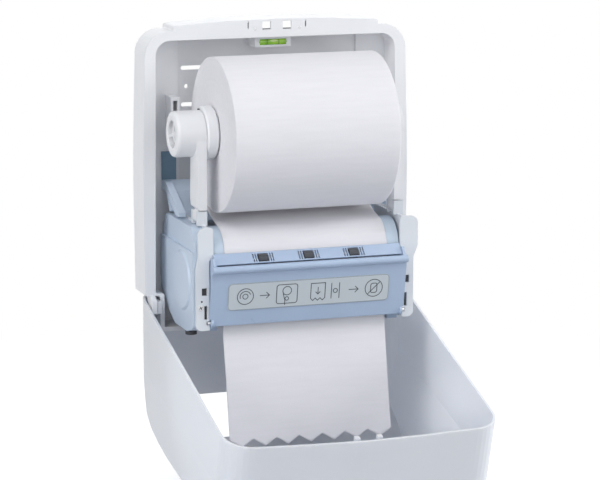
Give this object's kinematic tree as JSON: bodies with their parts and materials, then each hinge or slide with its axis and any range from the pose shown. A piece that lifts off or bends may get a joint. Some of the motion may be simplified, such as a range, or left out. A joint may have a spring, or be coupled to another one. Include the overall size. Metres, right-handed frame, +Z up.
{
  "type": "roll paper towel dispenser",
  "caption": "Wall-hung paper towel dispenser, cover swung open: a roll on two sprung arms feeds over a geared drum with an inner knife, past a pinch roller in a drop-down flap.",
  "frame": {"origin": "on the wall face, on the centre line, at the height of the tray's middle", "axes": "+Z up, -Y out of the wall towards the user, +X to the right of someone facing the dispenser"},
  "size_m": [0.3404, 0.3809, 0.5839],
  "materials": {
    "white_moulding": "satin",
    "clear_white_cover": "satin",
    "blue_moulding": "satin",
    "gear_plastic": "matte",
    "steel": "brushed",
    "lock_plastic": "matte",
    "black_plastic": "matte",
    "tyre_rubber": "matte",
    "vial": "gloss",
    "label": "matte",
    "paper": "soft",
    "core_board": "matte"
  },
  "bodies": {
    "chassis": {"back_plate": "white_moulding", "level_holder": "white_moulding", "level_vial": "vial", "lock_pins": "steel", "left_side_plate": "white_moulding", "right_side_plate": "white_moulding", "gear_cover": "blue_moulding", "spring_post": "black_plastic", "rear_guide": "blue_moulding", "lower_guide": "blue_moulding", "tie_rods": "steel", "chassis_screws": "steel", "hinge_pins": "steel", "flap_pins": "steel", "arm_pins": "steel", "drum_bushes": "gear_plastic", "idler_post": "steel", "paper_web": "paper", "paper_tail": "paper"},
    "lock": {"lock_slide": "lock_plastic"},
    "cover": {"cover_shell": "clear_white_cover"},
    "flap": {"flap_panel": "blue_moulding", "flap_guide": "blue_moulding", "flap_label": "label"},
    "pinch": {"pinch_shaft": "steel", "pinch_tyres": "tyre_rubber"},
    "drum": {"drum_shell": "blue_moulding", "drum_caps": "blue_moulding", "drum_shaft": "steel", "drum_gear": "gear_plastic", "feed_wheel": "blue_moulding"},
    "knife": {"knife_carrier": "steel", "knife_blade": "steel"},
    "idler": {"idler_gear": "gear_plastic"},
    "left_arm": {"left_arm": "white_moulding"},
    "right_arm": {"right_arm": "white_moulding"},
    "left_hub": {"left_plug": "white_moulding", "left_knob": "white_moulding"},
    "right_hub": {"right_plug": "white_moulding", "right_cap": "white_moulding"},
    "roll": {"paper_roll": "paper", "roll_core": "core_board"}
  },
  "joints": [
    {"name": "cover_hinge", "type": "hinge", "parent": "chassis", "child": "cover", "pos_m": [0, -0.049, -0.1575], "axis": [-1, 0, 0], "range_deg": [0, 107], "deforming": ["paper_tail"]},
    {"name": "flap_hinge", "type": "hinge", "parent": "chassis", "child": "flap", "pos_m": [0, -0.157, -0.158], "axis": [-1, 0, 0], "range_deg": [-55, 0], "stiffness_Nm_per_rad": 0.15, "springref_deg": 22.92},
    {"name": "left_arm_splay", "type": "hinge", "parent": "chassis", "child": "left_arm", "pos_m": [-0.124, -0.126, -0.036], "axis": [0, 1, 0], "range_deg": [-14, 0], "stiffness_Nm_per_rad": 2, "springref_deg": 5.73},
    {"name": "right_arm_splay", "type": "hinge", "parent": "chassis", "child": "right_arm", "pos_m": [0.124, -0.126, -0.036], "axis": [0, -1, 0], "range_deg": [-14, 0], "stiffness_Nm_per_rad": 2, "springref_deg": 5.73},
    {"name": "roll_spin", "type": "hinge", "parent": "chassis", "child": "roll", "pos_m": [0, -0.112, 0.06], "axis": [1, 0, 0], "continuous": true},
    {"name": "left_hub_spin", "type": "hinge", "parent": "left_arm", "child": "left_hub", "pos_m": [-0.124, -0.112, 0.0633], "axis": [1, 0, 0], "continuous": true},
    {"name": "right_hub_spin", "type": "hinge", "parent": "right_arm", "child": "right_hub", "pos_m": [0.124, -0.112, 0.0633], "axis": [1, 0, 0], "continuous": true},
    {"name": "drum_spin", "type": "hinge", "parent": "chassis", "child": "drum", "pos_m": [0, -0.124, -0.0795], "axis": [1, 0, 0], "continuous": true},
    {"name": "idler_spin", "type": "hinge", "parent": "chassis", "child": "idler", "pos_m": [-0.1305, -0.08615, -0.0795], "axis": [1, 0, 0], "continuous": true},
    {"name": "pinch_spin", "type": "hinge", "parent": "flap", "child": "pinch", "pos_m": [0, -0.16254, -0.08355], "axis": [1, 0, 0], "continuous": true},
    {"name": "knife_swing", "type": "hinge", "parent": "drum", "child": "knife", "pos_m": [0, -0.14, -0.0995], "axis": [1, 0, 0], "range_deg": [-40, 0], "stiffness_Nm_per_rad": 0.05, "springref_deg": 20.05},
    {"name": "lock_slide", "type": "slide", "parent": "chassis", "child": "lock", "axis": [1, 0, 0], "range_m": [-0.004, 0], "stiffness_N_per_m": 200, "springref_m": 0.002}
  ],
  "couplings": [
    {"joint": "left_hub_spin", "follows": "roll_spin", "ratio": 1.2332},
    {"joint": "right_hub_spin", "follows": "roll_spin", "ratio": 1.2332},
    {"joint": "idler_spin", "follows": "drum_spin", "ratio": -1.5},
    {"joint": "pinch_spin", "follows": "drum_spin", "ratio": -5.9727}
  ]
}
